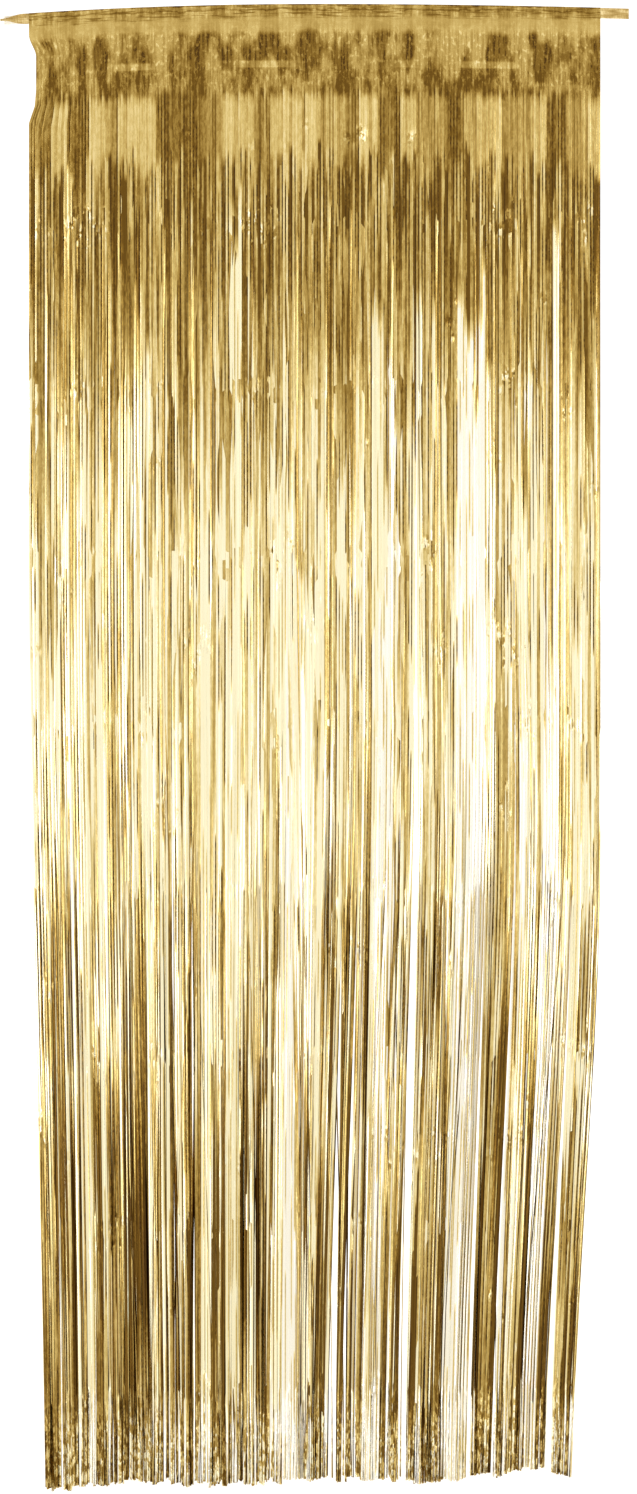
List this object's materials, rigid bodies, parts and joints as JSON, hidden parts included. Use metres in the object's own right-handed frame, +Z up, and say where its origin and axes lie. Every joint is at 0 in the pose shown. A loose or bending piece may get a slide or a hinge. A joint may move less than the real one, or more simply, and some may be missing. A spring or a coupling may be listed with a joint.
{
  "type": "foil fringe curtain",
  "caption": "Door-height curtain of gold metallic foil strips hanging in swinging locks from an uncut film header on an adhesive tape.",
  "frame": {"origin": "centre of the adhesive strip's back face, which sticks to a lintel or wall", "axes": "+Z up, X across the curtain, +Y into the wall, so the room side faces -Y"},
  "size_m": [1.014, 0.0074, 2.4],
  "materials": {
    "gold_film": "metallised gold polyester film, mirror bright, creased from packing",
    "gold_tape": "satin gold tape; its back, which can't be seen, is taken as pale beige",
    "foam_adhesive": null
  },
  "bodies": {
    "header": {"adhesive_strip": "foam_adhesive", "header_tape": "gold_tape", "back_header_film": "gold_film", "front_header_film": "gold_film"},
    "lock_01": {"front_lock_01": "gold_film", "back_lock_01": "gold_film"},
    "lock_02": {"front_lock_02": "gold_film", "back_lock_02": "gold_film"},
    "lock_03": {"front_lock_03": "gold_film", "back_lock_03": "gold_film"},
    "lock_04": {"front_lock_04": "gold_film", "back_lock_04": "gold_film"},
    "lock_05": {"front_lock_05": "gold_film", "back_lock_05": "gold_film"},
    "lock_06": {"front_lock_06": "gold_film", "back_lock_06": "gold_film"},
    "lock_07": {"front_lock_07": "gold_film", "back_lock_07": "gold_film"},
    "lock_08": {"front_lock_08": "gold_film", "back_lock_08": "gold_film"},
    "lock_09": {"front_lock_09": "gold_film", "back_lock_09": "gold_film"},
    "lock_10": {"front_lock_10": "gold_film", "back_lock_10": "gold_film"},
    "lock_11": {"front_lock_11": "gold_film", "back_lock_11": "gold_film"},
    "lock_12": {"front_lock_12": "gold_film", "back_lock_12": "gold_film"},
    "lock_13": {"front_lock_13": "gold_film", "back_lock_13": "gold_film"},
    "lock_14": {"front_lock_14": "gold_film", "back_lock_14": "gold_film"},
    "lock_15": {"front_lock_15": "gold_film", "back_lock_15": "gold_film"},
    "lock_16": {"front_lock_16": "gold_film", "back_lock_16": "gold_film"},
    "lock_17": {"front_lock_17": "gold_film", "back_lock_17": "gold_film"},
    "lock_18": {"front_lock_18": "gold_film", "back_lock_18": "gold_film"},
    "lock_19": {"front_lock_19": "gold_film", "back_lock_19": "gold_film"},
    "lock_20": {"front_lock_20": "gold_film", "back_lock_20": "gold_film"}
  },
  "joints": [
    {"name": "lock_01_swing", "type": "hinge", "parent": "header", "child": "lock_01", "pos_m": [-0.43795, -0.0044, -0.0976], "axis": [1, 0, 0], "range_deg": [-75, 75]},
    {"name": "lock_02_swing", "type": "hinge", "parent": "header", "child": "lock_02", "pos_m": [-0.39185, -0.0044, -0.0976], "axis": [1, 0, 0], "range_deg": [-75, 75]},
    {"name": "lock_03_swing", "type": "hinge", "parent": "header", "child": "lock_03", "pos_m": [-0.34575, -0.0044, -0.0976], "axis": [1, 0, 0], "range_deg": [-75, 75]},
    {"name": "lock_04_swing", "type": "hinge", "parent": "header", "child": "lock_04", "pos_m": [-0.29965, -0.0044, -0.0976], "axis": [1, 0, 0], "range_deg": [-75, 75]},
    {"name": "lock_05_swing", "type": "hinge", "parent": "header", "child": "lock_05", "pos_m": [-0.25355, -0.0044, -0.0976], "axis": [1, 0, 0], "range_deg": [-75, 75]},
    {"name": "lock_06_swing", "type": "hinge", "parent": "header", "child": "lock_06", "pos_m": [-0.20745, -0.0044, -0.0976], "axis": [1, 0, 0], "range_deg": [-75, 75]},
    {"name": "lock_07_swing", "type": "hinge", "parent": "header", "child": "lock_07", "pos_m": [-0.16135, -0.0044, -0.0976], "axis": [1, 0, 0], "range_deg": [-75, 75]},
    {"name": "lock_08_swing", "type": "hinge", "parent": "header", "child": "lock_08", "pos_m": [-0.11525, -0.0044, -0.0976], "axis": [1, 0, 0], "range_deg": [-75, 75]},
    {"name": "lock_09_swing", "type": "hinge", "parent": "header", "child": "lock_09", "pos_m": [-0.06915, -0.0044, -0.0976], "axis": [1, 0, 0], "range_deg": [-75, 75]},
    {"name": "lock_10_swing", "type": "hinge", "parent": "header", "child": "lock_10", "pos_m": [-0.02305, -0.0044, -0.0976], "axis": [1, 0, 0], "range_deg": [-75, 75]},
    {"name": "lock_11_swing", "type": "hinge", "parent": "header", "child": "lock_11", "pos_m": [0.02305, -0.0044, -0.0976], "axis": [1, 0, 0], "range_deg": [-75, 75]},
    {"name": "lock_12_swing", "type": "hinge", "parent": "header", "child": "lock_12", "pos_m": [0.06915, -0.0044, -0.0976], "axis": [1, 0, 0], "range_deg": [-75, 75]},
    {"name": "lock_13_swing", "type": "hinge", "parent": "header", "child": "lock_13", "pos_m": [0.11525, -0.0044, -0.0976], "axis": [1, 0, 0], "range_deg": [-75, 75]},
    {"name": "lock_14_swing", "type": "hinge", "parent": "header", "child": "lock_14", "pos_m": [0.16135, -0.0044, -0.0976], "axis": [1, 0, 0], "range_deg": [-75, 75]},
    {"name": "lock_15_swing", "type": "hinge", "parent": "header", "child": "lock_15", "pos_m": [0.20745, -0.0044, -0.0976], "axis": [1, 0, 0], "range_deg": [-75, 75]},
    {"name": "lock_16_swing", "type": "hinge", "parent": "header", "child": "lock_16", "pos_m": [0.25355, -0.0044, -0.0976], "axis": [1, 0, 0], "range_deg": [-75, 75]},
    {"name": "lock_17_swing", "type": "hinge", "parent": "header", "child": "lock_17", "pos_m": [0.29965, -0.0044, -0.0976], "axis": [1, 0, 0], "range_deg": [-75, 75]},
    {"name": "lock_18_swing", "type": "hinge", "parent": "header", "child": "lock_18", "pos_m": [0.34575, -0.0044, -0.0976], "axis": [1, 0, 0], "range_deg": [-75, 75]},
    {"name": "lock_19_swing", "type": "hinge", "parent": "header", "child": "lock_19", "pos_m": [0.39185, -0.0044, -0.0976], "axis": [1, 0, 0], "range_deg": [-75, 75]},
    {"name": "lock_20_swing", "type": "hinge", "parent": "header", "child": "lock_20", "pos_m": [0.43795, -0.0044, -0.0976], "axis": [1, 0, 0], "range_deg": [-75, 75]}
  ]
}
